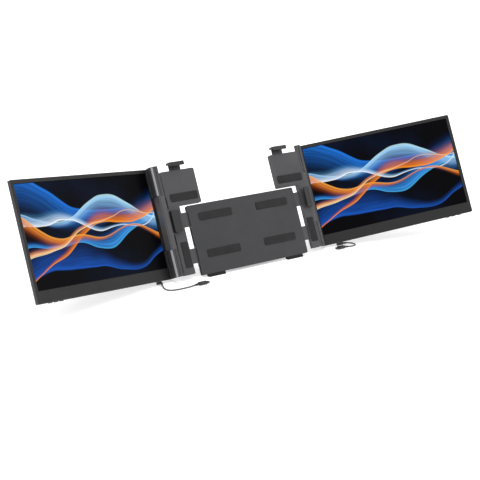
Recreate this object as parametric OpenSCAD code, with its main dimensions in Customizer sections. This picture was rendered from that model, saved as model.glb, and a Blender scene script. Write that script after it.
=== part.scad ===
// Laptop screen extender: a back bracket that grips a laptop's lid, with two
// hinged 15.6 inch screens, a fold-out kickstand and a lead for each screen.
// Millimetres. +Z up, the viewer sits on the -Y side, z = 0 is the table.
// Lengths given as h run up the leaning bracket, from the lid's hinge line.

/* [Stance] */
// Lean of the bracket and the screens, back from upright (degrees)
lean = 24.65; // [18:0.05:30]
// Turn of each screen towards the viewer (degrees)
toe_in = 19.42; // [5:0.01:28]
// Opening of the kickstand, from folded flat (degrees)
stand_open = 54.65; // [50:0.05:75]

/* [Screens] */
// Width of one screen unit
screen_w = 358.6; // [356:0.1:366]
// Height of one screen unit
screen_h = 223.9; // [222:0.1:230]
// Thickness of one screen unit
screen_t = 9; // [8.6:0.1:11]
// Width of the picture area
view_w = 344.2; // [340:0.1:346]
// Height of the picture area
view_h = 193.6; // [190:0.1:195]
// Bezel above the picture area
bezel_top = 7.3; // [6.5:0.1:9]
// Radius of the screen unit's corners
corner_r = 3.5; // [2:0.1:6]
// Wall of the rear shell
shell_wall = 1.6; // [1.4:0.1:1.8]

/* [Hinge columns] */
// Width of a hinge column, seen from the front
column_w = 13.5; // [12:0.1:14]
// Height of one hinge knuckle block
knuckle_h = 55; // [45:0.5:58]
// Radius of the hinge pins
pin_r = 2; // [1.5:0.05:2.2]
// Running clearance of the pins in the knuckles
pin_gap = 0.05; // [0.02:0.01:0.1]

/* [Bracket] */
// Half the width of the centre plate
plate_half = 132; // [110:1:135]
// Height of the centre plate's top edge
plate_top = 130; // [120:1:132]
// Lower edge of the bracket, over the hinge line of the lid
plate_low = -12.6; // [-13:0.1:-10]
// Thickness of a lid that fits under the clips
lid_t = 6; // [4:0.1:6.5]
// Height of the laptop lid that the top clips are set to
lid_h = 216.4; // [210:0.1:240]
// Height of a side clip
side_clip_h = 44; // [30:1:60]
// Width of a top clip
top_clip_w = 34; // [28:1:40]

/* [Leads] */
// Diameter of a screen lead
lead_d = 3; // [2.5:0.1:3.6]

/* [Hidden] */

L = -1;            // left side
R = 1;             // right side
shift_y = -18;     // puts the middle of the object's depth at y = 0
drop = 20.556;     // height of the lid's hinge line over the table
function axis_x(s) = s == R ? 175.75 : 185.75;   // hinge axes, from the middle
edge_x = 189.2;    // inner front edge of a screen, from the middle
edge_y = 27.15;    // inner front edge of a screen, behind the lid's face
base_h = -6.1;     // bottom edge of the screens and columns
col_top = base_h + screen_h;   // top edge of the screens and columns
pad_y = lid_t;     // face of the pads that back the lid
plate_y = lid_t + 1;           // front face of the bracket
cover_y = plate_y + 9;         // rear face of the bracket
tongue_y = plate_y + 2.9;      // front of the slider tongues
tongue_t = 3.2;
// face of the folded screen, in front of the lid's face: the right one
// folds in first, and the left one over it
function shut(s) = s == R ? 3.2 : 3.2 + screen_t + 0.8;
function dx(s) = edge_x - axis_x(s);
function axis_y(s) = -(shut(s) - dx(s) * sin(toe_in) - edge_y * cos(toe_in)) / (1 + cos(toe_in));
function dy(s) = edge_y - axis_y(s);
function u0(s) = dx(s) * cos(toe_in) - dy(s) * sin(toe_in);
function p0(s) = dx(s) * sin(toe_in) + dy(s) * cos(toe_in);
// front face of each column, behind the lid's face
function column_y(s) = s == R ? 9.3 : 0.6;
function column_back(s) = s == R ? 28.4 : 22;   // and its rear face
function column_in(s) = axis_x(s) - column_w / 2;   // inner side of each column
function strip_out(s) = s == R ? 167.5 : 172.9;     // outer edge of each slider, beside the knuckles
function clip_in(s) = s == R ? 154.5 : 156.5;       // inner edge of each side clip
function clip_out(s) = s == R ? 167.6 : 174.8;      // and its outer edge
function clip_screw_x(s) = s == R ? 166.4 : 169.5;
function clip_screw_r(s) = s == R ? 0.55 : 0.85;
knuckle_top = col_top - 59;    // lower end of the upper knuckle
knuckle_low = base_h + knuckle_h; // upper end of the lower knuckle
chin = screen_h - view_h - bezel_top;
side = (screen_w - view_w) / 2;
port_x = 38;       // first port, from the inner edge
kick_y = cover_y + 3.8;
kick_h = 62;
foot_r = 3;
kick_z = drop - kick_y * sin(lean) + kick_h * cos(lean);
kick_l = (kick_z - foot_r) / cos(stand_open - lean);

// ---- placing ----
module lid_frame() translate([0, shift_y, drop]) rotate([-lean, 0, 0]) children();
module sided(s) if (s == R) children(); else mirror([1, 0, 0]) children();
module at_side(s) lid_frame() sided(s) children();
module at_axis(s) at_side(s) translate([axis_x(s), axis_y(s), 0]) children();
// x along the screen from its inner edge, y into its depth, z up from its bottom edge
module at_screen(s) at_axis(s) rotate([0, 0, -toe_in]) translate([u0(s), p0(s), base_h]) children();
module up(a, b) translate([0, 0, a]) linear_extrude(b - a) children();
// an outline in x and z, from depth a to depth b
module deep(a, b) translate([0, b, 0]) rotate([90, 0, 0]) linear_extrude(b - a) children();
module block(x0, x1, y0, y1, z0, z1) translate([x0, y0, z0]) cube([x1 - x0, y1 - y0, z1 - z0]);
// a round bar along y
module post(x, z, r, a, b) translate([x, a, z]) rotate([-90, 0, 0]) cylinder(r = r, h = b - a, $fn = 32);

function arc(cx, cy, r, a, b, n) = [for (i = [0:n]) [cx + r * cos(a + (b - a) * i / n), cy + r * sin(a + (b - a) * i / n)]];
function round_rect(x0, z0, x1, z1, r, n = 6) = concat(
    arc(x1 - r, z0 + r, r, -90, 0, n), arc(x1 - r, z1 - r, r, 0, 90, n),
    arc(x0 + r, z1 - r, r, 90, 180, n), arc(x0 + r, z0 + r, r, 180, 270, n));

// ---- centre plate ----
module back_plate() color("dimgray") lid_frame() {
    difference() {
        union() {
            deep(plate_y, plate_y + 2.6) polygon(round_rect(-plate_half, plate_low, plate_half, plate_top, 4));
            block(-plate_half + 3, plate_half - 3, plate_y + 2.5, cover_y - 2.6, plate_top - 3, plate_top);
            block(-plate_half + 3, plate_half - 3, plate_y + 2.5, cover_y - 2.6, plate_low, plate_low + 3);
            for (h = [[11, 13.7], [44.3, 47], [85, 87.7], [118.3, 121]])
                block(-plate_half, plate_half, plate_y + 2.5, cover_y - 2.6, h[0], h[1]);
            for (x = [-20, 20], h = [4, 66, 122.5]) post(x, h, 3, plate_y + 1, cover_y - 2.6);
            for (x = [-110, 110]) post(x, 66, 3, plate_y + 1, cover_y - 2.6);
        }
        for (x = [-20, 20], h = [4, 66, 122.5]) post(x, h, 1, plate_y + 1.4, cover_y);
        for (x = [-110, 110]) post(x, 66, 1, plate_y + 1.4, cover_y);
        // shallow seats for the pads
        for (x = [-1, 1]) deep(plate_y - 0.5, plate_y + 0.5) polygon(round_rect(x * 70 - 40, 20, x * 70 + 40, 36, 3));
        for (x = [-1, 1]) deep(plate_y - 0.5, plate_y + 0.5) polygon(round_rect(x * 70 - 40, 96, x * 70 + 40, 112, 3));
    }
}
module back_plate_cover() color("dimgray") lid_frame() {
    difference() {
        union() {
            deep(cover_y - 2.6, cover_y) polygon(round_rect(-plate_half, plate_low, plate_half, plate_top, 4));
            // kickstand lugs
            for (x = [-56, 46.4]) {
                translate([x, kick_y, kick_h]) rotate([0, 90, 0]) cylinder(r = 3.6, h = 9.6, $fn = 48);
                block(x, x + 9.6, cover_y - 0.5, kick_y, kick_h - 3.6, kick_h + 3.6);
            }
        }
        translate([-57, kick_y, kick_h]) rotate([0, 90, 0]) cylinder(r = 1.5, h = 114, $fn = 48);
        for (x = [-20, 20], h = [4, 66, 122.5]) {
            post(x, h, 1.15, cover_y - 3, cover_y + 1);
            post(x, h, 2.1, cover_y - 1.3, cover_y + 1);
        }
        for (x = [-110, 110]) {
            post(x, 66, 1.15, cover_y - 3, cover_y + 1);
            post(x, 66, 2.1, cover_y - 1.3, cover_y + 1);
        }
        // vent slots
        for (x = [-100:12:-76], h = [92, 20]) deep(cover_y - 0.8, cover_y + 1) polygon(round_rect(x, h, x + 5, h + 22, 2.4));
        for (x = [76:12:100], h = [92, 20]) deep(cover_y - 0.8, cover_y + 1) polygon(round_rect(x - 5, h, x, h + 22, 2.4));
    }
}
module back_plate_pads() color("#303030") lid_frame() {
    for (x = [-1, 1], h = [20, 96])
        deep(pad_y, plate_y + 0.5) polygon(round_rect(x * 70 - 40, h, x * 70 + 40, h + 16, 3));
}
function table_h(y) = (y * sin(lean) - drop) / cos(lean);
module back_plate_feet() color("#202020") lid_frame() {
    for (x = [-118, 78]) translate([x, 0, 0]) rotate([90, 0, 90]) linear_extrude(40)
        polygon([[plate_y + 0.4, plate_low], [plate_y + 0.4, table_h(plate_y + 0.4)],
                 [cover_y - 0.4, table_h(cover_y - 0.4)], [cover_y - 0.4, plate_low]]);
}
module screw(x, h) {
    post(x, h, 0.95, plate_y + 1.6, cover_y - 1.2);
    difference() {
        post(x, h, 2, cover_y - 1.3, cover_y - 0.3);
        post(x, h, 0.8, cover_y - 0.9, cover_y);
    }
}
module back_plate_screws() color("silver") lid_frame() {
    for (x = [-20, 20], h = [4, 66, 122.5]) screw(x, h);
    for (x = [-110, 110]) screw(x, 66);
}

// ---- kickstand ----
module kick_frame() lid_frame() translate([0, kick_y, kick_h]) rotate([stand_open, 0, 0]) children();
module kickstand_pin() color("silver") lid_frame()
    translate([-56, kick_y, kick_h]) rotate([0, 90, 0]) cylinder(r = 1.5, h = 112, $fn = 48);
module kickstand() color("dimgray") kick_frame() {
    difference() {
        union() {
            translate([-46, 0, 0]) rotate([0, 90, 0]) cylinder(r = 3.4, h = 92, $fn = 48);
            block(-46, 46, -1.9, 1.9, -8, 0);
            deep(-1.9, 1.9) polygon(round_rect(-60, -kick_l + 3.5, 60, -6, 5));
        }
        translate([-60, 0, 0]) rotate([0, 90, 0]) cylinder(r = 1.55, h = 120, $fn = 48);
        deep(1.1, 3) polygon(round_rect(-48, -kick_l + 16, 48, -16, 4));
        deep(-3, -1.1) polygon(round_rect(-48, -kick_l + 16, 48, -16, 4));
    }
}
module kickstand_foot() color("#202020") kick_frame() {
    difference() {
        translate([-58, 0, -kick_l]) rotate([0, 90, 0]) cylinder(r = foot_r, h = 116, $fn = 48);
        block(-60, 60, -1.9, 1.9, -kick_l + 0, -kick_l + 6);
    }
    block(-54, 54, -1.9, 1.9, -kick_l, -kick_l + 3.5);
}

// ---- sliders and hinge columns ----
clip_mid = 103;    // middle of the side clips
clip_screws = [90, 116];
function clip_x(s) = s == R ? 119 : 136;   // middle of each top clip
module slider(s) at_side(s) {
    strip_in = plate_half + 15.5;
    difference() {
        union() {
            deep(plate_y, cover_y) polygon(round_rect(strip_in, base_h, strip_out(s), 205, 2, 3));
            block(167, column_in(s), plate_y + 3, cover_y, 56, 150);
            block(strip_in, column_in(s), plate_y, cover_y, 76, 130);
            deep(plate_y, cover_y) polygon(round_rect(95, plate_top + 2.5, 167, 205, 3, 3));
            for (h = [[14, 44], [88, 118]]) block(60, strip_in + 2, tongue_y, tongue_y + tongue_t, h[0], h[1]);
        }
        // channel for the top clip
        block(clip_x(s) - 13.2, clip_x(s) + 13.2, tongue_y - 0.2, tongue_y + 3.4, plate_top + 6, 210);
        // seats for the pads
        deep(plate_y - 0.5, plate_y + 0.5) polygon(round_rect(149.5, 8, 165.5, 60, 2));
        deep(plate_y - 0.5, plate_y + 0.5) polygon(round_rect(100, 142, 164, 158, 3));
        // screws of the column
        for (h = [64, 103, 142]) {
            translate([150, (tongue_y + cover_y) / 2, h]) rotate([0, 90, 0]) cylinder(r = 1.05, h = 30, $fn = 32);
            translate([146, (tongue_y + cover_y) / 2, h]) rotate([0, 90, 0]) cylinder(r = 2.1, h = 7, $fn = 32);
        }
        // screws of the side clip
        for (h = clip_screws) {
            post(clip_screw_x(s), h, clip_screw_r(s) + 0.15, plate_y - 1, cover_y + 1);
            post(clip_screw_x(s), h, clip_screw_r(s) * 2 + 0.1, cover_y - 1.3, cover_y + 1);
        }
    }
}
module column(s) at_axis(s) {
    w = column_w / 2;
    f = column_y(s) - axis_y(s);
    b = column_back(s) - axis_y(s);
    difference() {
        union() {
            up(knuckle_low + 0.4, knuckle_top - 0.4)
                polygon(concat(arc(w - 1, f + 1, 1, 0, -90, 4), arc(-w + 1, f + 1, 1, -90, -180, 4),
                    [[-w, 17 - axis_y(s)], [-w + 4, b]], arc(w - 1.5, b - 1.5, 1.5, 90, 0, 4)));
        }
        // seam near its outer edge
        block(w - 3.2, w - 2, f - 1, f + 1, knuckle_low, knuckle_top);
        translate([0, 0, knuckle_low]) cylinder(r = pin_r, h = 27, $fn = 48);
        translate([0, 0, knuckle_top - 27]) cylinder(r = pin_r, h = 27, $fn = 48);
        for (h = [64, 103, 142])
            translate([-10, (tongue_y + cover_y) / 2 - axis_y(s), h]) rotate([0, 90, 0]) cylinder(r = 0.9, h = 7, $fn = 32);
    }
}
module column_screws(s) at_side(s) {
    for (h = [64, 103, 142]) {
        translate([152.5, (tongue_y + cover_y) / 2, h]) rotate([0, 90, 0]) cylinder(r = 0.85, h = column_in(s) - 149.5, $fn = 32);
        difference() {
            translate([151.2, (tongue_y + cover_y) / 2, h]) rotate([0, 90, 0]) cylinder(r = 2, h = 1.7, $fn = 32);
            translate([150, (tongue_y + cover_y) / 2, h]) rotate([0, 90, 0]) cylinder(r = 0.8, h = 2.2, $fn = 32);
        }
    }
    for (h = clip_screws) {
        post(clip_screw_x(s), h, clip_screw_r(s), 1.5, cover_y - 1.2);
        difference() {
            post(clip_screw_x(s), h, clip_screw_r(s) * 2, cover_y - 1.3, cover_y - 0.3);
            post(clip_screw_x(s), h, clip_screw_r(s) * 0.9, cover_y - 0.9, cover_y);
        }
    }
}
module hinge_pins(s) at_axis(s) {
    translate([0, 0, base_h + 3.6]) cylinder(r = pin_r, h = knuckle_low + 26 - base_h - 3.6, $fn = 48);
    translate([0, 0, knuckle_top - 26]) cylinder(r = pin_r, h = col_top - 3.6 - knuckle_top + 26, $fn = 48);
}
module side_clip(s) at_side(s) {
    h0 = clip_mid - side_clip_h / 2;
    h1 = h0 + side_clip_h;
    difference() {
        union() {
            block(165.2, s == R ? 167.6 : 173.3, -0.6, plate_y, h0, h1);
            deep(-2.5, -0.5) polygon(round_rect(clip_in(s), h0, clip_out(s), h1, 2));
            if (s == L) deep(-0.6, 0.5) polygon(round_rect(170, h0, clip_out(s), h1, 2));
        }
        for (h = clip_screws) post(clip_screw_x(s), h, clip_screw_r(s) + 0.05, 1, plate_y + 1);
    }
}
module lid_pads(s) at_side(s) {
    h0 = clip_mid - side_clip_h / 2;
    deep(pad_y, plate_y + 0.5) polygon(round_rect(149.5, 8, 165.5, 60, 2));
    deep(pad_y, plate_y + 0.5) polygon(round_rect(100, 142, 164, 158, 3));
    deep(-0.5, 0) polygon(round_rect(clip_in(s) + 0.6, h0 + 2, 165, h0 + side_clip_h - 2, 1.5));
}
module top_clip(s) at_side(s) {
    x = clip_x(s);
    difference() {
        union() {
            block(x - 13, x + 13, tongue_y, tongue_y + tongue_t, 146, lid_h + 1);
            translate([x - top_clip_w / 2, 0, 0]) rotate([90, 0, 90]) linear_extrude(top_clip_w)
                polygon([[tongue_y + tongue_t, lid_h + 0.4], [tongue_y + tongue_t, lid_h + 3.4],
                    [tongue_y + tongue_t - 1.2, lid_h + 4.6], [-1.3, lid_h + 4.6], [-2.5, lid_h + 3.4],
                    [-2.5, lid_h - 4], [-0.6, lid_h - 4], [-0.6, lid_h + 0.4]]);
        }
        // grip grooves on top
        for (i = [-4:4]) block(x + i * 3 - 0.5, x + i * 3 + 0.5, 2, 9, lid_h + 4.2, lid_h + 6);
    }
}
module top_clip_pad(s) at_side(s) {
    x = clip_x(s);
    block(x - 15, x + 15, -0.6, tongue_y - 3, lid_h - 0.2, lid_h + 0.4);
    block(x - 15, x + 15, -0.6, -0.1, lid_h - 3.6, lid_h - 0.2);
}

// ---- screens ----
// outline of a screen in profile: square at the front, rounded at the back
function back_profile(a, b, t, r) = concat([[a, 0.3], [b, 0.3]],
    arc(b - r, t - r, r, 0, 90, 5), arc(a + r, t - r, r, 90, 180, 5));
module shell_form(i, t, r) {
    // i is the inset of the faces, t the depth and r the back edge's radius
    intersection() {
        deep(-1, t) polygon(round_rect(i, i, screen_w - i, screen_h - i, max(corner_r - i, 0.5)));
        up(-1, screen_h + 1) polygon(back_profile(i, screen_w - i, t, r));
        translate([-1, 0, 0]) rotate([90, 0, 90]) linear_extrude(screen_w + 2)
            polygon([for (q = back_profile(i, screen_h - i, t, r)) [q[1], q[0]]]);
    }
}
screw_spots = [[60, screen_h - 4.1], [screen_w / 2, screen_h - 4.1], [screen_w - 60, screen_h - 4.1],
    [28, 11], [screen_w / 2, 11], [screen_w - 12, 11]];
leaf_z = [[4, 50], [screen_h - 54, screen_h - 8]];
leaf_spots = [[14, 12], [14, 42], [14, screen_h - 46], [14, screen_h - 16]];
button_x = [screen_w - 60, screen_w - 46, screen_w - 32];
slots = [for (x = [196:4:220]) x, for (x = [232:4:256]) x];
module rear_shell(s) at_screen(s) {
    difference() {
        shell_form(0, screen_t, 4);
        difference() {
            translate([0, -2, 0]) shell_form(shell_wall, screen_t + 0.5, 0.6);
            for (q = leaf_spots) post(q[0], q[1], 2.4, screen_t - 1.8, screen_t);
        }
        // ports
        for (x = [port_x, port_x + 16]) deep(2.75, 6.35) polygon(round_rect(x - 4.8, -1, x + 4.8, 3, 1));
        deep(2.75, 6.35) polygon(round_rect(port_x + 26, -1, port_x + 38, 3, 1));
        // button slots
        for (x = button_x) block(x - 4.2, x + 4.2, 2.7, 6.3, -1, shell_wall + 1);
        // sound slots
        for (x = slots) block(x - 0.8, x + 0.8, 3, 6.4, -1, shell_wall + 1);
        // hinge leaf slots
        for (z = leaf_z) block(-1, shell_wall + 1, screen_t - 3.25, screen_t - 1.65, z[0] - 0.1, z[1] + 0.1);
        // screws
        for (q = screw_spots) {
            post(q[0], q[1], 1.15, screen_t - 3, screen_t + 1);
            post(q[0], q[1], 2.1, screen_t - 0.9, screen_t + 1);
        }
        for (q = leaf_spots) post(q[0], q[1], 0.9, screen_t - 3, screen_t - 0.6);
        // vents, blind
        for (x = [-60:8:60], z = [38, 52])
            deep(screen_t - 0.6, screen_t + 1) polygon(round_rect(screen_w / 2 + x - 1.2, z, screen_w / 2 + x + 1.2, z + 9, 1.1, 2));
    }
}
module bezel(s) at_screen(s) {
    i = shell_wall + 0.25;
    difference() {
        union() {
            deep(0, 1.2) polygon(round_rect(i, i, screen_w - i, screen_h - i, corner_r - 1));
            for (q = screw_spots) post(q[0], q[1], 2.2, 1, screen_t - 1.6);
        }
        block(side, screen_w - side, -1, 2, chin, screen_h - bezel_top);
        for (q = screw_spots) post(q[0], q[1], 0.9, 1.6, screen_t);
    }
}
module lcd_panel(s) at_screen(s)
    block(side - 1.2, screen_w - side + 1.2, 1.2, 2.4, chin - 1.2, screen_h - bezel_top + 1);
module backlight(s) at_screen(s) difference() {
    block(side - 1.2, screen_w - side + 1.2, 2.4, 5, chin - 1.2, screen_h - bezel_top + 1);
    for (x = [60, 140, 220, 300]) block(x - 25, x + 25, 4.6, 6, chin + 20, screen_h - 30);
}
module control_board(s) at_screen(s) difference() {
    union() {
        block(32, 160, 6.2, 7.2, 3, 20);
        block(96, 108, 4.8, 6.2, 6, 18);
        block(116, 124, 5, 6.2, 6, 14);
        for (x = [132:5:152]) block(x, x + 2.6, 5.4, 6.2, 9, 12);
        block(86, 90, 4.4, 6.2, 5, 9);
    }
    for (x = [35, 156]) post(x, 17, 1, 6, 8);
}
module key_board(s) at_screen(s) {
    block(button_x[0] - 8, button_x[2] + 8, 6.5, 7.3, 3, 12);
    for (x = button_x) {
        block(x - 2.2, x + 2.2, 3, 6.5, 3.3, 6.5);
        block(x - 0.8, x + 0.8, 4, 5.2, 3.2, 3.3);
    }
}
module speakers(s) at_screen(s) for (x = [192, 228]) difference() {
    block(x, x + 32, 2, 6.9, 2.6, 14);
    block(x + 3, x + 29, 3.2, 6, 2, 3.4);
}
module ports(s) at_screen(s) {
    for (x = [port_x, port_x + 16]) difference() {
        deep(2.95, 6.15) polygon(round_rect(x - 4.6, 0.3, x + 4.6, 7.8, 1));
        deep(3.25, 5.85) polygon(round_rect(x - 4.25, -1, x + 4.25, 6.9, 1));
    }
    for (x = [port_x, port_x + 16]) block(x - 3.2, x + 3.2, 4.25, 4.85, 1.2, 6.95);
    difference() {
        block(port_x + 26.4, port_x + 37.6, 2.95, 6.15, 0.3, 8);
        block(port_x + 26.8, port_x + 37.2, 3.3, 5.8, -1, 7);
    }
}
// profile of a hinge knuckle with its arm and the foot that laps the bezel;
// x outwards and y back, from the hinge axis
function knuckle_profile(s) =
    let (w = column_w / 2, f = column_y(s) - axis_y(s), e = [dx(s), dy(s)],
         u = [cos(toe_in), -sin(toe_in)], v = [sin(toe_in), cos(toe_in)],
         toe = e + 5 * u, lip = e + 4.6 * u - 1 * v, bow = [w + (s == R ? 0.1 : 5.5), f * 0.35 + (s == R ? 4.4 : 4)],
         q0 = [w, f + 1.5])
    concat(arc(-w + 1.5, f + 1.5, 1.5, 270, 180, 4),
        arc(0, 0, w, 180, 115, 5),
        [e - 3 * u - 1 * v, e - 3 * u + 6.8 * v, e - 2.4 * u + 7.4 * v, e + 7.4 * v, e, toe, lip],
        [for (i = [1:8]) let (k = i / 8) (1 - k) * (1 - k) * lip + 2 * k * (1 - k) * bow + k * k * q0],
        [[w - 1.5, f]]);
module knuckles(s) difference() {
    union() {
        // the rail that closes the gap beside the screen, between the knuckles
        at_screen(s) up(knuckle_h + 0.4, screen_h - 59.4)
            polygon([[-7.9, 0], [0, 0], [0, 7.4], [-7.3, 7.4], [-8.5, 6.2], [-8.5, 0.6]]);
        at_axis(s) {
            up(base_h + (s == R ? 1 : 0.3), knuckle_low) polygon(knuckle_profile(s));
            up(knuckle_top, col_top) polygon(knuckle_profile(s));
        }
    }
    at_axis(s) {
        translate([0, 0, base_h + 3]) cylinder(r = pin_r + pin_gap, h = knuckle_low - base_h, $fn = 48);
        translate([0, 0, knuckle_top - 1]) cylinder(r = pin_r + pin_gap, h = col_top - 3 - knuckle_top + 1, $fn = 48);
        // seam down the front of each knuckle
        for (z = [base_h, knuckle_top])
            block(-1.2, 0.4, column_y(s) - axis_y(s) - 1, column_y(s) - axis_y(s) + 1.2, z - 1, z + 61);
    }
    at_screen(s) for (z = leaf_z) block(-1.8, 0.5, screen_t - 3.2, screen_t - 1.8, z[0], z[1]);
}
module hinge_leaves(s) at_screen(s) for (z = leaf_z) difference() {
    union() {
        block(-1.8, 24, screen_t - 3.2, screen_t - 1.8, z[0], z[1]);
    }
    for (q = leaf_spots) post(q[0], q[1], 1.1, screen_t - 4, screen_t - 1);
}
module screen_screws(s) at_screen(s) {
    for (q = leaf_spots) {
        post(q[0], q[1], 0.85, screen_t - 3.9, screen_t - 0.8);
        post(q[0], q[1], 2, screen_t - 3.9, screen_t - 3.2);
    }
    for (q = screw_spots) {
        post(q[0], q[1], 0.85, 2, screen_t - 0.8);
        difference() {
            post(q[0], q[1], 2, screen_t - 0.9, screen_t - 0.15);
            post(q[0], q[1], 0.8, screen_t - 0.5, screen_t);
        }
    }
}
module display_cable(s) at_screen(s) translate([64, 0, 0]) rotate([90, 0, 90]) linear_extrude(18)
    polygon([[5.9, 12], [6.2, 12], [6.2, 19.9], [5.3, 21.9], [5.3, 33], [5, 33], [5, 21.8], [5.9, 19.8]]);
module button(s, i) at_screen(s) {
    x = button_x[i];
    deep(2.9, 6.1) polygon(round_rect(x - 4, -0.9, x + 4, shell_wall + 0.2, 0.6, 3));
    block(x - 4.8, x + 4.8, 2.9, 6.1, shell_wall + 0.05, shell_wall + 0.75);
}

// ---- leads ----
function cross_unit(a, b) = let (c = cross(a, b)) c / norm(c);
function spline(p, i, t) = let (
    a = p[max(i - 1, 0)], b = p[i], c = p[i + 1], d = p[min(i + 2, len(p) - 1)])
    0.5 * ((2 * b) + (c - a) * t + (2 * a - 5 * b + 4 * c - d) * t * t + (3 * b - 3 * c + d - a) * t * t * t);
function fine(p, n) = concat([for (i = [0:len(p) - 2], k = [0:n - 1]) spline(p, i, k / n)], [p[len(p) - 1]]);
function way(p, i) = let (a = p[max(i - 1, 0)], b = p[min(i + 1, len(p) - 1)]) (b - a) / norm(b - a);
module tube(p, r, sides = 8) {
    rings = [for (i = [0:len(p) - 1]) let (
        t = way(p, i), x = cross_unit(t, abs(t[2]) > 0.9 ? [1, 0, 0] : [0, 0, 1]), y = cross(x, t))
        [for (k = [0:sides - 1]) p[i] + r * (cos(360 * k / sides) * x + sin(360 * k / sides) * y)]];
    pts = [for (g = rings, q = g) q];
    n = len(p);
    polyhedron(points = pts, faces = concat(
        [[for (k = [0:sides - 1]) k]],
        [for (i = [0:n - 2], k = [0:sides - 1]) let (a = i * sides + k, b = i * sides + (k + 1) % sides)
            [a, a + sides, b + sides, b]],
        [[for (k = [sides - 1:-1:0]) (n - 1) * sides + k]]));
}
left_route = [[-224.5, -11, 7], [-226, -15, 4.8], [-227.5, -20, 2.9], [-229, -27, 1.8], [-230, -35, 1.6],
    [-227, -43, 1.6], [-220, -47.5, 1.6], [-210, -49.5, 1.6], [-198, -50, 1.6], [-184, -49.8, 1.8],
    [-173, -49, 2.6], [-164, -48.5, 3.2]];
right_route = [[238.5, -8.6, 6], [246, -6.8, 4.9], [253, -7, 3.4], [258.6, -9.8, 2.6], [260.7, -15.4, 2],
    [258.6, -21, 1.7], [253, -23.8, 1.6], [245, -24, 1.6], [236.5, -22.8, 2.2], [228, -21.4, 3.2]];
module lead(s) tube(fine(s == R ? right_route : left_route, 3), lead_d / 2);
// connector tongue with its hollow, along z, centred in x and y
module tongue_shell(h) linear_extrude(h) difference() {
    polygon(round_rect(-4.1, -1.2, 4.1, 1.2, 1));
    polygon(round_rect(-3.6, -0.7, 3.6, 0.7, 0.6));
}
// angled plug in the screen's port: the left one points forward, the right one outward
module screen_plug(s) at_screen(s) {
    translate([port_x, 4.55, -0.6]) tongue_shell(7);
    difference() {
        union() {
            if (s == L) {
                up(-5.6, -0.15) polygon(round_rect(port_x - 5.5, 0.9, port_x + 5.5, 7.9, 1.8));
                translate([port_x, -2.6, -2.9]) rotate([-90, 0, 0]) cylinder(r1 = 1.9, r2 = 2.4, h = 4, $fn = 32);
            } else {
                up(-5.6, -0.15) polygon(round_rect(port_x - 5.5, 0.9, port_x + 9, 7.9, 1.8));
                translate([port_x + 8, 4.4, -2.9]) rotate([0, 90, 0]) cylinder(r1 = 2.4, r2 = 1.9, h = 5, $fn = 32);
            }
        }
    }
}
// plug for the laptop, lying flat on the table, its mouth along +x from x0
module laptop_plug(x0, y0, way, len) translate([x0, y0, 3.2]) rotate([0, way * 90, 0]) {
    translate([0, 0, len - 0.5]) rotate([0, 0, 90]) tongue_shell(7.1);
    linear_extrude(len) polygon(round_rect(-3.1, -5.2, 3.1, 5.2, 2.9));
    translate([0, 0, -3]) cylinder(r1 = 1.9, r2 = 2.5, h = 3.2, $fn = 32);
}

back_plate();
back_plate_cover();
back_plate_pads();
back_plate_feet();
back_plate_screws();
kickstand_pin();
kickstand();
kickstand_foot();
color("#555555") slider(L);  // left_slider
color("#606060") column(L);  // left_hinge_column
color("silver") column_screws(L);  // left_column_screws
color("silver") hinge_pins(L);  // left_hinge_pins
color("#606060") side_clip(L);  // left_side_clip
color("#303030") lid_pads(L);  // left_lid_pads
color("#404040") top_clip(L);  // left_top_clip
color("#303030") top_clip_pad(L);  // left_top_clip_pad
color("#4a4a4a") rear_shell(L);  // left_rear_shell
color("#3a3a3a") bezel(L);  // left_bezel
color("#0a0a12") lcd_panel(L);  // left_lcd_panel
color("silver") backlight(L);  // left_backlight
color("darkgreen") control_board(L);  // left_control_board
color("darkgreen") key_board(L);  // left_key_board
color("#222222") speakers(L);  // left_speakers
color("silver") ports(L);  // left_ports
color("#606060") knuckles(L);  // left_knuckles
color("silver") hinge_leaves(L);  // left_hinge_leaves
color("silver") screen_screws(L);  // left_screen_screws
color("orange") display_cable(L);  // left_display_cable
color("#555555") lead(L);  // left_lead
color("#2a2a2a") button(L, 0);  // left_power_button
color("#2a2a2a") button(L, 1);  // left_plus_button
color("#2a2a2a") button(L, 2);  // left_minus_button
color("#2a2a2a") screen_plug(L);  // left_screen_plug
color("#2a2a2a") laptop_plug(-162, -48.5, 1, 17);  // left_laptop_plug
color("#555555") slider(R);  // right_slider
color("#606060") column(R);  // right_hinge_column
color("silver") column_screws(R);  // right_column_screws
color("silver") hinge_pins(R);  // right_hinge_pins
color("#606060") side_clip(R);  // right_side_clip
color("#303030") lid_pads(R);  // right_lid_pads
color("#404040") top_clip(R);  // right_top_clip
color("#303030") top_clip_pad(R);  // right_top_clip_pad
color("#4a4a4a") rear_shell(R);  // right_rear_shell
color("#3a3a3a") bezel(R);  // right_bezel
color("#0a0a12") lcd_panel(R);  // right_lcd_panel
color("silver") backlight(R);  // right_backlight
color("darkgreen") control_board(R);  // right_control_board
color("darkgreen") key_board(R);  // right_key_board
color("#222222") speakers(R);  // right_speakers
color("silver") ports(R);  // right_ports
color("#606060") knuckles(R);  // right_knuckles
color("silver") hinge_leaves(R);  // right_hinge_leaves
color("silver") screen_screws(R);  // right_screen_screws
color("orange") display_cable(R);  // right_display_cable
color("#555555") lead(R);  // right_lead
color("#2a2a2a") button(R, 0);  // right_power_button
color("#2a2a2a") button(R, 1);  // right_plus_button
color("#2a2a2a") button(R, 2);  // right_minus_button
color("#2a2a2a") screen_plug(R);  // right_screen_plug
color("#2a2a2a") laptop_plug(226, -21.4, -1, 15);  // right_laptop_plug
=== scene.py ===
"""Laptop screen extender: the looks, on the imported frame. Metres throughout."""
import math

import bmesh
import bpy
from mathutils import Matrix, Vector


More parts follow.
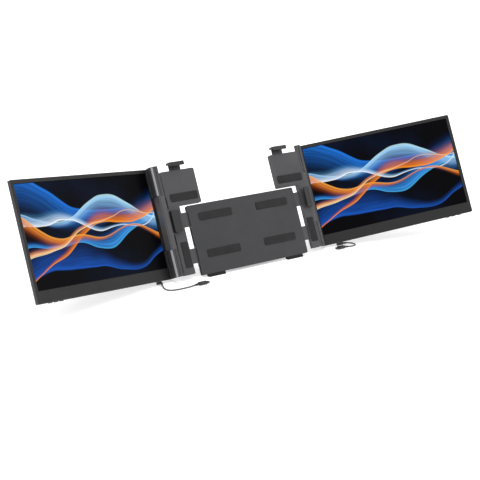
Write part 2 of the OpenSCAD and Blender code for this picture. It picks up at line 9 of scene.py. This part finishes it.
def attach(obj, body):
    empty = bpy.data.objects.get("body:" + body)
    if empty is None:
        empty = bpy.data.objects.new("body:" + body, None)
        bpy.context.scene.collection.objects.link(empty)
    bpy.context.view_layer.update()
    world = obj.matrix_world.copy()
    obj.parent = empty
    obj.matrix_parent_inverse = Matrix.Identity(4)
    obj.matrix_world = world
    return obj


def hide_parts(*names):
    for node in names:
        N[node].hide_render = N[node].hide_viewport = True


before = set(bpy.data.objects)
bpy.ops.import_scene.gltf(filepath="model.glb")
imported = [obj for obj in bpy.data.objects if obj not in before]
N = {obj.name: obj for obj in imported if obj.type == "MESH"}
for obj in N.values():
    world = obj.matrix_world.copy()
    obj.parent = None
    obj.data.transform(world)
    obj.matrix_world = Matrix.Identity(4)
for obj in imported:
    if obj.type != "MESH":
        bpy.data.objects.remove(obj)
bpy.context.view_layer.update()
scene = bpy.context.scene
mm = 0.001

# ---------------------------------------------------------------- camera
YAW, PITCH = 0.60389, 0.29887
EYE = Vector((-1.29921, -1.83806, 0.74571))
fwd = Vector((math.sin(YAW) * math.cos(PITCH), math.cos(YAW) * math.cos(PITCH), -math.sin(PITCH)))
right = Vector((math.cos(YAW), -math.sin(YAW), 0.0))
upv = right.cross(fwd)
cam_data = bpy.data.cameras.new("camera")
cam = bpy.data.objects.new("camera", cam_data)
scene.collection.objects.link(cam)
rot = Matrix((right, upv, -fwd)).transposed()
cam.matrix_world = Matrix.Translation(EYE) @ rot.to_4x4()
cam_data.sensor_width = 36.0
cam_data.lens = 1147.487 * 36.0 / 480.0
cam_data.clip_start = 0.05
cam_data.clip_end = 60.0
scene.camera = cam

# ---------------------------------------------------------------- places
LEAN = math.radians(24.65)
TOE = math.radians(19.42)
SHIFT_Y, DROP = -18.0, 20.556
EDGE_X, EDGE_Y, BASE_H = 189.2, 27.15, -6.1
SCREEN_W, SCREEN_H, SCREEN_T = 358.6, 223.9, 9.0
VIEW_W, VIEW_H, BEZEL_TOP = 344.2, 193.6, 7.3
CHIN = SCREEN_H - VIEW_H - BEZEL_TOP
SIDE = (SCREEN_W - VIEW_W) / 2


def axis_x(s):
    return 175.75 if s > 0 else 185.75


def dx(s):
    return EDGE_X - axis_x(s)


def shut(s):
    return 3.2 if s > 0 else 3.2 + SCREEN_T + 0.8


def axis_y(s):
    return -(shut(s) - dx(s) * math.sin(TOE) - EDGE_Y * math.cos(TOE)) / (1 + math.cos(TOE))


def lid(x, y, h):
    """Row-frame point, in metres, of x, y back and h up the leaning bracket, in mm."""
    return Vector((x, SHIFT_Y + y * math.cos(LEAN) + h * math.sin(LEAN),
                   DROP - y * math.sin(LEAN) + h * math.cos(LEAN))) * mm


def scr(s, x, y, z):
    """Row-frame point of x from the screen's inner edge, y into its depth and z up, in mm."""
    dyy = EDGE_Y - axis_y(s)
    u = x + dx(s) * math.cos(TOE) - dyy * math.sin(TOE)
    v = y + dx(s) * math.sin(TOE) + dyy * math.cos(TOE)
    return lid(s * (axis_x(s) + u * math.cos(TOE) + v * math.sin(TOE)),
               axis_y(s) - u * math.sin(TOE) + v * math.cos(TOE), BASE_H + z)


SIDES = (("left", -1), ("right", 1))


def link(name, mesh, body=None):
    o = bpy.data.objects.new(name, mesh)
    scene.collection.objects.link(o)
    if body:
        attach(o, body)
    return o


# ---------------------------------------------------------------- leads
ROUTES = {
    "left": [(-224.5, -11, 7), (-226, -15, 4.8), (-227.5, -20, 2.9), (-229, -27, 1.8), (-230, -35, 1.6),
             (-227, -43, 1.6), (-220, -47.5, 1.6), (-210, -49.5, 1.6), (-198, -50, 1.6), (-184, -49.8, 1.8),
             (-173, -49, 2.6), (-164, -48.5, 3.2)],
    "right": [(238.5, -8.6, 6), (246, -6.8, 4.9), (253, -7, 3.4), (258.6, -9.8, 2.6), (260.7, -15.4, 2),
              (258.6, -21, 1.7), (253, -23.8, 1.6), (245, -24, 1.6), (236.5, -22.8, 2.2), (228, -21.4, 3.2)],
}


def smooth_route(points, n):
    p = [Vector(q) * mm for q in points]
    out = []
    for i in range(len(p) - 1):
        a, b, c, d = p[max(i - 1, 0)], p[i], p[i + 1], p[min(i + 2, len(p) - 1)]
        for k in range(n):
            t = k / n
            out.append(0.5 * (2 * b + (c - a) * t + (2 * a - 5 * b + 4 * c - d) * t * t
                              + (3 * b - 3 * c + d - a) * t ** 3))
    out.append(p[-1])
    return out


def tube(name, path, radius, sides=16, taper=None):
    """A closed round tube along path; taper gives the radius at each point."""
    bm = bmesh.new()
    rings = []
    normal = None
    for i, q in enumerate(path):
        t = (path[min(i + 1, len(path) - 1)] - path[max(i - 1, 0)]).normalized()
        if normal is None:
            ref = Vector((0, 0, 1)) if abs(t.z) < 0.9 else Vector((1, 0, 0))
            normal = t.cross(ref).normalized()
        normal = (normal - t * normal.dot(t)).normalized()
        b = t.cross(normal)
        r = taper[i] if taper else radius
        rings.append([bm.verts.new(q + r * (math.cos(a) * normal + math.sin(a) * b))
                      for a in [2 * math.pi * k / sides for k in range(sides)]])
    for r0, r1 in zip(rings, rings[1:]):
        for k in range(sides):
            f = bm.faces.new((r0[k], r0[(k + 1) % sides], r1[(k + 1) % sides], r1[k]))
            f.smooth = True
    bm.faces.new(rings[0][::-1])
    bm.faces.new(rings[-1])
    bmesh.ops.recalc_face_normals(bm, faces=bm.faces)
    me = bpy.data.meshes.new(name)
    bm.to_mesh(me)
    bm.free()
    return me


def sleeve(name, path, reach, r0, r1, body):
    """A tapered, ribbed strain relief round the first stretch of path."""
    pts, run, last = [], 0.0, path[0]
    dense = [path[0]]
    for q in path[1:]:
        n = max(1, int((q - last).length / 0.00018))
        dense += [last.lerp(q, (k + 1) / n) for k in range(n)]
        last = q
    last = dense[0]
    radii = []
    for q in dense:
        run += (q - last).length
        last = q
        if run > reach:
            break
        t = run / reach
        rib = 0.16 * mm if 0.12 < t < 0.9 and math.sin(t * 2 * math.pi * 6.5) > 0.1 else 0.0
        radii.append(r0 + (r1 - r0) * t - rib)
        pts.append(q)
    o = link(name, tube(name, pts, r0, 20, radii), body)
    return o


for side, s in SIDES:
    path = smooth_route(ROUTES[side], 8)
    lead = link(side + "_lead_cord", tube(side + "_lead_cord", path, 1.5 * mm), side + "_screen")
    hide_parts(side + "_lead")
    reliefs = [sleeve(side + "_screen_relief", path, 8 * mm, 2.25 * mm, 1.72 * mm, side + "_screen"),
               sleeve(side + "_laptop_relief", path[::-1], 9 * mm, 2.4 * mm, 1.72 * mm, side + "_screen")]


# ---------------------------------------------------------------- material kit
def lin(h):
    """Linear colour of a hex string."""
    c = [int(h[i:i + 2], 16) / 255 for i in (0, 2, 4)]
    return tuple(x / 12.92 if x <= 0.04045 else ((x + 0.055) / 1.055) ** 2.4 for x in c) + (1.0,)


class Nodes:
    """A short way to write node trees."""

    def __init__(self, name):
        self.mat = bpy.data.materials.new(name)
        self.mat.use_nodes = True
        self.t = self.mat.node_tree
        self.t.nodes.clear()
        self.out = self.t.nodes.new("ShaderNodeOutputMaterial")
        self.bsdf = self.t.nodes.new("ShaderNodeBsdfPrincipled")
        self.t.links.new(self.bsdf.outputs[0], self.out.inputs[0])
        self.coord = self.t.nodes.new("ShaderNodeTexCoord").outputs["Object"]

    def put(self, socket, value):
        if isinstance(value, bpy.types.NodeSocket):
            self.t.links.new(value, socket)
        else:
            socket.default_value = value

    def math(self, op, a, b=0.0, c=None, clamp=False):
        n = self.t.nodes.new("ShaderNodeMath")
        n.operation = op
        n.use_clamp = clamp
        self.put(n.inputs[0], a)
        self.put(n.inputs[1], b)
        if c is not None:
            self.put(n.inputs[2], c)
        return n.outputs[0]

    def dot(self, v, w):
        n = self.t.nodes.new("ShaderNodeVectorMath")
        n.operation = "DOT_PRODUCT"
        self.put(n.inputs[0], v)
        self.put(n.inputs[1], w)
        return n.outputs["Value"]

    def xyz(self, x, y, z=0.0):
        n = self.t.nodes.new("ShaderNodeCombineXYZ")
        for i, v in enumerate((x, y, z)):
            self.put(n.inputs[i], v)
        return n.outputs[0]

    def stretch(self, v, scale):
        n = self.t.nodes.new("ShaderNodeMapping")
        self.put(n.inputs["Vector"], v)
        n.inputs["Scale"].default_value = scale
        return n.outputs[0]

    def noise(self, v, scale, detail=3.0, rough=0.5, distortion=0.0):
        n = self.t.nodes.new("ShaderNodeTexNoise")
        self.put(n.inputs["Vector"], v)
        n.inputs["Scale"].default_value = scale
        n.inputs["Detail"].default_value = detail
        n.inputs["Roughness"].default_value = rough
        n.inputs["Distortion"].default_value = distortion
        return n.outputs["Fac"]

    def cells(self, v, scale, feature="F1", out="Distance"):
        n = self.t.nodes.new("ShaderNodeTexVoronoi")
        n.feature = feature
        self.put(n.inputs["Vector"], v)
        n.inputs["Scale"].default_value = scale
        return n.outputs[out]

    def span(self, v, lo, hi, a, b, smooth=False):
        n = self.t.nodes.new("ShaderNodeMapRange")
        if smooth:
            n.interpolation_type = "SMOOTHSTEP"
        self.put(n.inputs["Value"], v)
        for k, q in (("From Min", lo), ("From Max", hi), ("To Min", a), ("To Max", b)):
            self.put(n.inputs[k], q)
        return n.outputs["Result"]

    def mix(self, fac, a, b, blend="MIX"):
        n = self.t.nodes.new("ShaderNodeMix")
        n.data_type = "RGBA"
        n.blend_type = blend
        self.put(n.inputs["Factor"], fac)
        self.put([i for i in n.inputs if i.name == "A" and i.type == "RGBA"][0], a)
        self.put([i for i in n.inputs if i.name == "B" and i.type == "RGBA"][0], b)
        return [o for o in n.outputs if o.type == "RGBA"][0]

    def bump(self, height, strength, distance, normal=None):
        n = self.t.nodes.new("ShaderNodeBump")
        n.inputs["Strength"].default_value = strength
        n.inputs["Distance"].default_value = distance
        self.put(n.inputs["Height"], height)
        if normal is not None:
            self.put(n.inputs["Normal"], normal)
        return n.outputs[0]

    def rounded(self, radius):
        n = self.t.nodes.new("ShaderNodeBevel")
        n.samples = 4
        n.inputs["Radius"].default_value = radius
        return n.outputs[0]

    def edge(self, radius):
        """1 on sharp edges, 0 on faces."""
        g = self.t.nodes.new("ShaderNodeNewGeometry")
        d = self.dot(self.rounded(radius), g.outputs["True Normal"])
        return self.span(d, 0.995, 0.86, 0.0, 1.0)

    def finish(self, color, rough, normal=None, **fixed):
        self.put(self.bsdf.inputs["Base Color"], color)
        self.put(self.bsdf.inputs["Roughness"], rough)
        if normal is not None:
            self.put(self.bsdf.inputs["Normal"], normal)
        for k, v in fixed.items():
            self.bsdf.inputs[k.replace("_", " ")].default_value = v
        return self.mat


def scaled(c, f):
    return (min(c[0] * f, 1), min(c[1] * f, 1), min(c[2] * f, 1), 1.0)


def moulded(name, hexa, rough=0.55, grain=900, depth=0.05, spread=0.10, wear=0.35, spec=0.4):
    """Moulded plastic: spark-eroded grain, faint flow marks and edges rubbed a little shiny."""
    k = Nodes(name)
    c = lin(hexa)
    cloud = k.noise(k.coord, 9.0, 4.0, 0.55)
    col = k.mix(k.span(cloud, 0.3, 0.7, 0, 1), scaled(c, 1 - spread), scaled(c, 1 + spread))
    fleck = k.noise(k.coord, 2600.0, 2.0, 0.6)
    col = k.mix(k.span(fleck, 0.55, 0.8, 0, 0.35), col, scaled(c, 1.5))
    e = k.edge(0.0005)
    col = k.mix(k.math("MULTIPLY", e, wear), col, scaled(c, 2.3))
    r = k.span(k.noise(k.coord, 45.0, 5.0, 0.6), 0.3, 0.75, rough - 0.06, rough + 0.07)
    r = k.math("SUBTRACT", r, k.math("MULTIPLY", e, 0.12))
    g = k.math("ADD", k.cells(k.coord, grain), k.math("MULTIPLY", k.noise(k.coord, grain * 1.7, 3.0), 0.7))
    n = k.bump(g, depth, 0.0002, k.rounded(0.0004))
    return k.finish(col, r, n, **{"Specular_IOR_Level": spec})


def anodised(name, hexa, rough=0.38, metallic=0.75, along=(1, 1, 1), spread=0.08, facet=None, limit=0.0, painted_light_flank=None):
    """Bead-blasted, anodised aluminium with very fine sparkle and cleaner edges.
    Faces whose normal is facet, less than limit mm behind the lid's face, get a painted highlight: a lighter colour
    standing in for light caught on the chamfer, with lower roughness; faces turned to the given side direction get
    painted light, a paler colour."""
    k = Nodes(name)
    c = lin(hexa)
    v = k.stretch(k.coord, along)
    cloud = k.noise(k.coord, 6.0, 3.0, 0.5)
    col = k.mix(k.span(cloud, 0.3, 0.7, 0, 1), scaled(c, 1 - spread), scaled(c, 1 + spread))
    blast = k.noise(v, 3200.0, 3.0, 0.65)
    col = k.mix(k.span(blast, 0.5, 0.8, 0, 0.4), col, scaled(c, 1.35))
    e = k.edge(0.0005)
    col = k.mix(k.math("MULTIPLY", e, 0.45), col, scaled(c, 2.4))
    smudge = k.span(k.noise(k.coord, 22.0, 5.0, 0.62), 0.35, 0.7, rough - 0.02, rough + 0.04)
    # painted light: faces turned towards the given side direction get a paler colour, standing in for light falling on
    # that side
    if painted_light_flank is not None:
        face = k.t.nodes.new("ShaderNodeTexCoord").outputs["Normal"]
        col = k.mix(k.math("MULTIPLY", k.span(k.dot(face, tuple(painted_light_flank)), 0.80, 0.95, 0, 1), 0.75), col, scaled(c, 1.7))
    # painted highlight: the chamfer faces near the lid's face are painted lighter, standing in for the bright line of
    # light along that edge; their roughness is lowered as well
    if facet is not None:
        face = k.t.nodes.new("ShaderNodeTexCoord").outputs["Normal"]
        painted_highlight = k.span(k.dot(face, tuple(facet)), 0.93, 0.97, 0, 1)
        back = (lid(0, 1000, 0) - lid(0, 0, 0))
        depth = k.math("SUBTRACT", k.dot(k.coord, tuple(back)), lid(0, 0, 0).dot(back) + limit * mm)
        painted_highlight = k.math("MULTIPLY", painted_highlight, k.span(depth, 0.0, 0.0004, 1, 0))
        lines = k.span(k.noise(k.stretch(k.coord, (1, 1, 0.02)), 2400.0, 2.0), 0.3, 0.7, 0.85, 1.0)
        col = k.mix(painted_highlight, col, k.mix(lines, lin("6c6c6e"), lin("9c9c9e")))
        smudge = k.math("SUBTRACT", smudge, k.math("MULTIPLY", painted_highlight, 0.14))
    n = k.bump(blast, 0.12, 0.00008, k.rounded(0.0005))
    return k.finish(col, smudge, n, **{"Metallic": metallic})


def rubber(name, hexa, rough=0.78, grain=1500):
    k = Nodes(name)
    c = lin(hexa)
    dust = k.noise(k.coord, 160.0, 6.0, 0.7)
    col = k.mix(k.span(dust, 0.5, 0.85, 0, 0.5), c, scaled(c, 2.0))
    r = k.span(k.noise(k.coord, 60.0, 4.0), 0.3, 0.7, rough - 0.08, rough + 0.08)
    n = k.bump(k.cells(k.coord, grain), 0.25, 0.00015, k.rounded(0.0004))
    return k.finish(col, r, n, **{"Specular_IOR_Level": 0.3})


def steel(name, hexa="b8b8bb", rough=0.3, along=(1, 1, 40)):
    k = Nodes(name)
    c = lin(hexa)
    lines = k.noise(k.stretch(k.coord, along), 900.0, 4.0, 0.7)
    col = k.mix(k.span(lines, 0.35, 0.7, 0, 1), scaled(c, 0.82), c)
    r = k.span(lines, 0.3, 0.7, rough - 0.07, rough + 0.1)
    n = k.bump(lines, 0.1, 0.00005, k.rounded(0.0003))
    return k.finish(col, r, n, **{"Metallic": 1.0})


def board(name):
    """Green solder mask with traces and pads showing through it."""
    k = Nodes(name)
    tr = k.cells(k.stretch(k.coord, (1, 1, 1)), 420.0, "DISTANCE_TO_EDGE")
    col = k.mix(k.span(tr, 0.03, 0.06, 1, 0), lin("12502c"), lin("2b7a48"))
    pads = k.cells(k.coord, 260.0)
    col = k.mix(k.span(pads, 0.10, 0.13, 1, 0), col, lin("c9b06a"))
    n = k.bump(tr, 0.3, 0.0001)
    return k.finish(col, 0.35, n)


def film(name, hexa):
    k = Nodes(name)
    c = lin(hexa)
    lines = k.noise(k.stretch(k.coord, (1, 0.02, 0.02)), 2500.0, 1.0)
    col = k.mix(k.span(lines, 0.45, 0.55, 0, 1), c, scaled(c, 0.6))
    return k.finish(col, 0.28, k.bump(lines, 0.1, 0.00005))


def white_sheet(name):
    k = Nodes(name)
    c = lin("e4e5e8")
    dots = k.cells(k.coord, 900.0)
    col = k.mix(k.span(dots, 0.1, 0.3, 0.3, 0), c, scaled(c, 0.9))
    return k.finish(col, 0.4, k.bump(k.noise(k.coord, 40.0, 3.0), 0.1, 0.0002))


def jacket(name, hexa):
    """Smooth satin cord jacket with faint extrusion waves."""
    k = Nodes(name)
    c = lin(hexa)
    w = k.noise(k.coord, 300.0, 3.0)
    col = k.mix(k.span(w, 0.35, 0.7, 0, 1), scaled(c, 0.85), scaled(c, 1.15))
    r = k.span(k.noise(k.coord, 90.0, 3.0), 0.3, 0.7, 0.38, 0.5)
    return k.finish(col, r, k.bump(k.noise(k.coord, 1400.0, 2.0), 0.08, 0.0001))


# ---------------------------------------------------------------- the picture on the screens
def picture(name, s):
    """A lit panel with a generic picture of folded silk-like waves, and a dark border round it."""
    k = Nodes(name)
    ex = (scr(s, 1, 0, 0) - scr(s, 0, 0, 0)).normalized() * s
    ez = (scr(s, 0, 0, 1) - scr(s, 0, 0, 0)).normalized()
    corner = scr(s, SIDE if s > 0 else SCREEN_W - SIDE, 0, CHIN)
    u = k.math("DIVIDE", k.math("SUBTRACT", k.dot(k.coord, tuple(ex)), corner.dot(ex)), VIEW_H * mm)
    v = k.math("DIVIDE", k.math("SUBTRACT", k.dot(k.coord, tuple(ez)), corner.dot(ez)), VIEW_H * mm)
    wide = VIEW_W / VIEW_H

    def sine(x, freq, phase):
        return k.math("SINE", k.math("MULTIPLY_ADD", x, freq, phase))

    warp = k.noise(k.xyz(u, v, 3.0), 1.3, 2.0, 0.5)
    vv = k.math("MULTIPLY_ADD", k.math("SUBTRACT", warp, 0.5), 0.22, v)
    base = k.mix(k.span(k.noise(k.xyz(u, v, 9.0), 1.6, 3.0), 0.48, 0.8, 0, 1), (0.0, 0.0, 0.0005, 1.0), lin("04122c"))
    col = base
    #        base  slope  amp  freq phase amp2 freq2 ph2  width up?  inner     outer      gain
    bands = [(0.02, 0.10, 0.10, 3.1, 0.4, 0.03, 7.3, 1.0, 0.46, 1, "1550ad", "010814", 1.0),
             (0.98, -0.22, 0.09, 2.6, 2.2, 0.04, 6.1, 0.2, 0.48, -1, "1c6fd0", "020b1c", 1.0),
             (0.26, 0.16, 0.12, 2.9, 1.5, 0.03, 8.2, 2.0, 0.30, 1, "3f9ff2", "0c428c", 1.0),
             (0.74, -0.05, 0.10, 3.4, 3.9, 0.04, 5.7, 1.3, 0.25, -1, "a9daf9", "2277cc", 1.0),
             (0.14, 0.30, 0.08, 3.3, 5.0, 0.03, 7.9, 0.5, 0.19, 1, "ff8a1e", "8a2a04", 1.0),
             (0.50, 0.05, 0.11, 3.0, 0.9, 0.03, 9.1, 2.6, 0.13, 1, "ecf6ff", "56aaea", 1.0),
             (0.62, -0.16, 0.10, 3.2, 2.7, 0.03, 8.4, 1.9, 0.16, -1, "ff9d3c", "b04408", 1.0),
             (0.38, 0.12, 0.09, 2.7, 4.4, 0.02, 9.6, 0.7, 0.07, 1, "ffdca8", "f57c18", 1.0)]
    for i, (b0, slope, a1, f1, p1, a2, f2, p2, w, way, inner, outer, gain) in enumerate(bands):
        line = k.math("MULTIPLY_ADD", u, slope, b0)
        line = k.math("MULTIPLY_ADD", sine(u, f1, p1), a1, line)
        line = k.math("MULTIPLY_ADD", sine(u, f2, p2), a2, line)
        d = k.math("MULTIPLY", k.math("SUBTRACT", vv, line), float(way))
        # width swells and pinches along the band
        ww = k.math("MULTIPLY", k.math("MULTIPLY_ADD", sine(u, f1 * 0.8, p2 + i), 0.45, 0.62), w)
        q = k.math("DIVIDE", d, ww)
        body = k.math("MULTIPLY", k.span(q, 0.0, 0.06, 0, 1, True), k.span(q, 0.05, 1.0, 1, 0, True))
        thread = k.noise(k.xyz(k.math("MULTIPLY", u, 0.8), k.math("MULTIPLY", d, 26.0), float(i)), 2.2, 3.0, 0.6)
        body = k.math("MULTIPLY", body, k.span(thread, 0.25, 0.7, 0.45, 1.15), clamp=True)
        tint = k.mix(k.span(q, 0.0, 0.75, 0, 1), lin(inner), lin(outer))
        col = k.mix(k.math("MULTIPLY", body, gain), col, tint)
        rim = k.math("MULTIPLY", k.span(q, -0.012, 0.02, 0, 1, True), k.span(q, 0.02, 0.10, 1, 0, True))
        col = k.mix(k.math("MULTIPLY", rim, 0.55 * gain), col, scaled(lin(inner), 1.6))
    # dark border of the panel round the lit area
    m = 0.0035
    inside = k.math("MULTIPLY", k.span(u, m, m + 0.002, 0, 1), k.span(u, wide - m - 0.002, wide - m, 1, 0))
    inside = k.math("MULTIPLY", inside, k.math("MULTIPLY", k.span(v, m, m + 0.002, 0, 1),
                                               k.span(v, 1 - m - 0.002, 1 - m, 1, 0)))
    col = k.mix(inside, (0.0, 0.0, 0.0, 1.0), col)
    k.put(k.bsdf.inputs["Emission Color"], col)
    k.bsdf.inputs["Emission Strength"].default_value = 1.0
    rough = k.span(k.noise(k.coord, 30.0, 4.0), 0.3, 0.7, 0.34, 0.42)
    n = k.bump(k.noise(k.coord, 5200.0, 1.0), 0.04, 0.00005)
    return k.finish((0.0015, 0.0015, 0.002, 1.0), rough, n, **{"Specular_IOR_Level": 0.03})


M = {
    "bracket": moulded("bracket_plastic", "2c2c2e", 0.56, 900, 0.08),
    "arm": moulded("arm_plastic", "3b3b3d", 0.5, 1000, 0.06),
    "clip": moulded("clip_plastic", "1c1c1e", 0.46, 1200, 0.05),
    "bezel": moulded("bezel_plastic", "1a1a1a", 0.58, 1300, 0.06, 0.06, 0.25, 0.3),
    "shell": anodised("shell_metal", "3a3a3c", 0.45, 0.5, spread=0.04),
    "steel": steel("hinge_steel"),
    "screw": steel("screw_steel", "8f8f92", 0.34, (1, 1, 1)),
    "port": steel("port_steel", "a9a9ac", 0.28, (1, 1, 1)),
    "pad": rubber("pad_rubber", "1d1d1e"),
    "foot": rubber("foot_rubber", "161616", 0.82, 900),
    "button": moulded("button_plastic", "1c1c1d", 0.5, 1200, 0.04),
    "speaker": moulded("speaker_plastic", "151516", 0.6, 1200, 0.05),
    "board": board("circuit_board"),
    "ribbon": film("ribbon", "c06a1c"),
    "sheet": white_sheet("backlight_sheet"),
    "jacket": jacket("lead_jacket", "4a4a4c"),
    "plug": moulded("plug_plastic", "19191a", 0.42, 1500, 0.03, 0.06, 0.2, 0.5),
}
for side, s in SIDES:
    M[side + "_picture"] = picture(side + "_picture", s)
    # the column's outer side faces get painted light, a paler colour standing in for light falling on them
    M[side + "_column"] = anodised(side + "_column_metal", "424243", 0.55, 0.1, painted_light_flank=Vector((s, 0, 0)))
    # the knuckles' front-outer chamfer gets a painted highlight, a lighter colour along that edge
    M[side + "_knuckle"] = anodised(side + "_knuckle_metal", "3c3c3e", 0.46, 0.3,
                                    facet=Vector((s, -math.cos(LEAN), math.sin(LEAN))).normalized(),
                                    limit=12.5 if s > 0 else 3.8)

PAINT = {
    "back_plate": "bracket", "back_plate_cover": "bracket", "back_plate_pads": "pad",
    "back_plate_feet": "foot", "back_plate_screws": "screw", "kickstand_pin": "steel",
    "kickstand": "arm", "kickstand_foot": "foot",
}
for side, s in SIDES:
    PAINT.update({side + "_" + a: b for a, b in {
        "slider": "arm", "column_screws": "screw", "hinge_pins": "steel",
        "side_clip": "clip", "lid_pads": "pad", "top_clip": "clip", "top_clip_pad": "pad",
        "rear_shell": "shell", "bezel": "bezel", "backlight": "sheet", "control_board": "board",
        "key_board": "board", "speakers": "speaker", "ports": "port",
        "hinge_leaves": "steel", "screen_screws": "screw", "display_cable": "ribbon",
        "power_button": "button", "plus_button": "button", "minus_button": "button",
        "lead": "jacket", "screen_plug": "plug", "laptop_plug": "plug"}.items()})
    PAINT[side + "_lcd_panel"] = side + "_picture"
    PAINT[side + "_knuckles"] = side + "_knuckle"
    PAINT[side + "_hinge_column"] = side + "_column"
for node, m in PAINT.items():
    o = N[node]
    o.data.materials.clear()
    o.data.materials.append(M[m])
for side, s in SIDES:
    for n in ("_lead_cord", "_screen_relief", "_laptop_relief"):
        bpy.data.objects[side + n].data.materials.append(M["jacket" if n == "_lead_cord" else "plug"])

# ---------------------------------------------------------------- rounded edges on the CAD parts
ROUND = {"bezel": 0.35, "rear_shell": 0.25, "knuckles": 0.7, "hinge_column": 0.6, "side_clip": 0.5,
         "top_clip": 0.6, "slider": 0.6, "lid_pads": 0.3, "screen_plug": 0.4, "laptop_plug": 0.4,
         "top_clip_pad": 0.15}
for node, o in N.items():
    short = node.split("_", 1)[1] if node.split("_")[0] in ("left", "right") else node
    w = ROUND.get(short, {"back_plate": 0.6, "back_plate_cover": 0.6, "kickstand": 0.6,
                          "back_plate_pads": 0.3, "back_plate_feet": 0.5}.get(short))
    if w is None:
        continue
    weld = o.modifiers.new("weld", "WELD")
    weld.merge_threshold = 2e-6
    flat = o.modifiers.new("flat", "DECIMATE")
    flat.decimate_type = "DISSOLVE"
    flat.angle_limit = math.radians(0.6)
    edge = o.modifiers.new("edge", "BEVEL")
    edge.width = w * mm
    edge.segments = 2
    edge.limit_method = "ANGLE"
    edge.angle_limit = math.radians(40)
    edge.harden_normals = False

# ---------------------------------------------------------------- stage
bm = bmesh.new()
bmesh.ops.create_grid(bm, x_segments=2, y_segments=2, size=14.0)
me = bpy.data.meshes.new("floor")
bm.to_mesh(me)
bm.free()
floor = link("floor", me)
floor.location = (0, 6.0, -0.0002)
k = Nodes("floor_paint")
tone = k.mix(k.span(k.noise(k.coord, 0.6, 2.0), 0.3, 0.7, 0, 1), (0.86, 0.86, 0.865, 1), (0.88, 0.88, 0.88, 1))
k.bsdf.inputs["Emission Color"].default_value = (1.0, 1.0, 1.0, 1.0)
k.bsdf.inputs["Emission Strength"].default_value = 0.36
floor.data.materials.append(k.finish(tone, 0.9, None, **{"Specular_IOR_Level": 0.1}))

world = bpy.data.worlds.new("studio")
scene.world = world
world.use_nodes = True
wt = world.node_tree
wt.nodes.clear()
wo = wt.nodes.new("ShaderNodeOutputWorld")
bg = wt.nodes.new("ShaderNodeBackground")
bg.inputs["Color"].default_value = (1, 1, 1, 1)
lp = wt.nodes.new("ShaderNodeLightPath")
mr = wt.nodes.new("ShaderNodeMapRange")
wt.links.new(lp.outputs["Is Camera Ray"], mr.inputs["Value"])
mr.inputs["To Min"].default_value = 0.72
mr.inputs["To Max"].default_value = 1.1
wt.links.new(mr.outputs["Result"], bg.inputs["Strength"])
wt.links.new(bg.outputs[0], wo.inputs[0])


def lamp(name, loc, target, size, power):
    d = bpy.data.lights.new(name, "AREA")
    d.shape = "RECTANGLE"
    d.size, d.size_y = size
    d.energy = power
    o = bpy.data.objects.new(name, d)
    scene.collection.objects.link(o)
    o.location = loc
    o.rotation_euler = (Vector(target) - Vector(loc)).to_track_quat("-Z", "Y").to_euler()
    return o


lamp("key", (-2.4, -1.6, 2.6), (0, 0, 0.1), (2.2, 1.6), 46)
lamp("top", (0.3, -0.2, 3.2), (0, 0, 0), (3.0, 3.0), 60)
lamp("fill", (2.6, -2.0, 1.6), (0, 0, 0.1), (1.8, 1.8), 22)
lamp("back", (0.4, 3.0, 2.0), (0, 0, 0.1), (2.5, 1.5), 26)

scene.view_settings.view_transform = "Standard"
scene.view_settings.look = "None"
scene.view_settings.exposure = 0.0
scene.view_settings.gamma = 1.0
